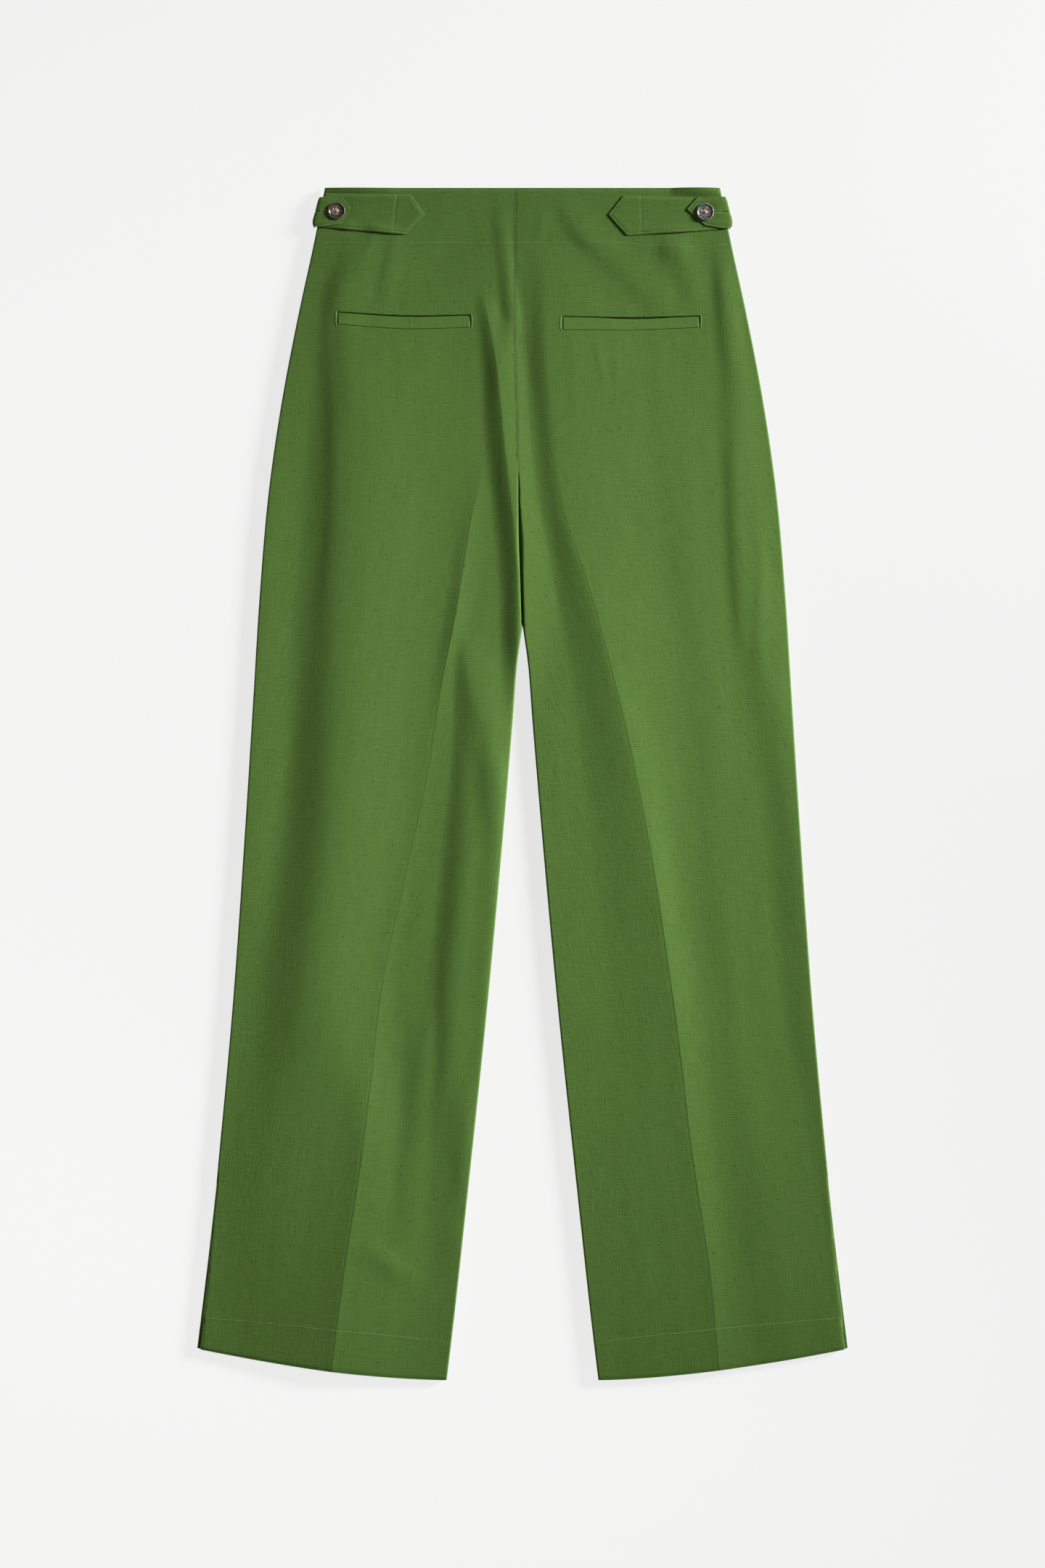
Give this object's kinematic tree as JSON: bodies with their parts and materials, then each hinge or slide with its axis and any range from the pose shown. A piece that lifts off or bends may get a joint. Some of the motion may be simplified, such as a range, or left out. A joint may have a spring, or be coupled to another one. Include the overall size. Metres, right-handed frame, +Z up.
{
  "type": "wide-leg trousers laid flat",
  "caption": "Wide-leg trousers laid flat, back up, with a grown-on waist, buttoned adjuster straps, welt pockets and pressed creases.",
  "frame": {"origin": "middle of the underside of the laid garment's box, on the surface it lies on", "axes": "+Z up out of the surface, through the front and then the back of the trousers; +Y from the hems to the waist; +X towards the wearer's right side"},
  "size_m": [0.6018, 1.1003, 0.0141],
  "materials": {
    "back_cloth": "matt olive-green plain-weave linen blend",
    "front_cloth": "matt olive-green plain-weave linen blend",
    "trim_cloth": "the same cloth, folded and topstitched",
    "horn_button": "polished mottled horn effect"
  },
  "bodies": {
    "root": {"back_left": "back_cloth", "back_right": "back_cloth", "front_left": "front_cloth", "front_right": "front_cloth", "adjuster_strap_left": "trim_cloth", "adjuster_strap_right": "trim_cloth", "adjuster_tab_left": "trim_cloth", "adjuster_tab_right": "trim_cloth", "pocket_welt_left": "trim_cloth", "pocket_welt_right": "trim_cloth", "button_left": "horn_button", "button_right": "horn_button"}
  },
  "joints": []
}
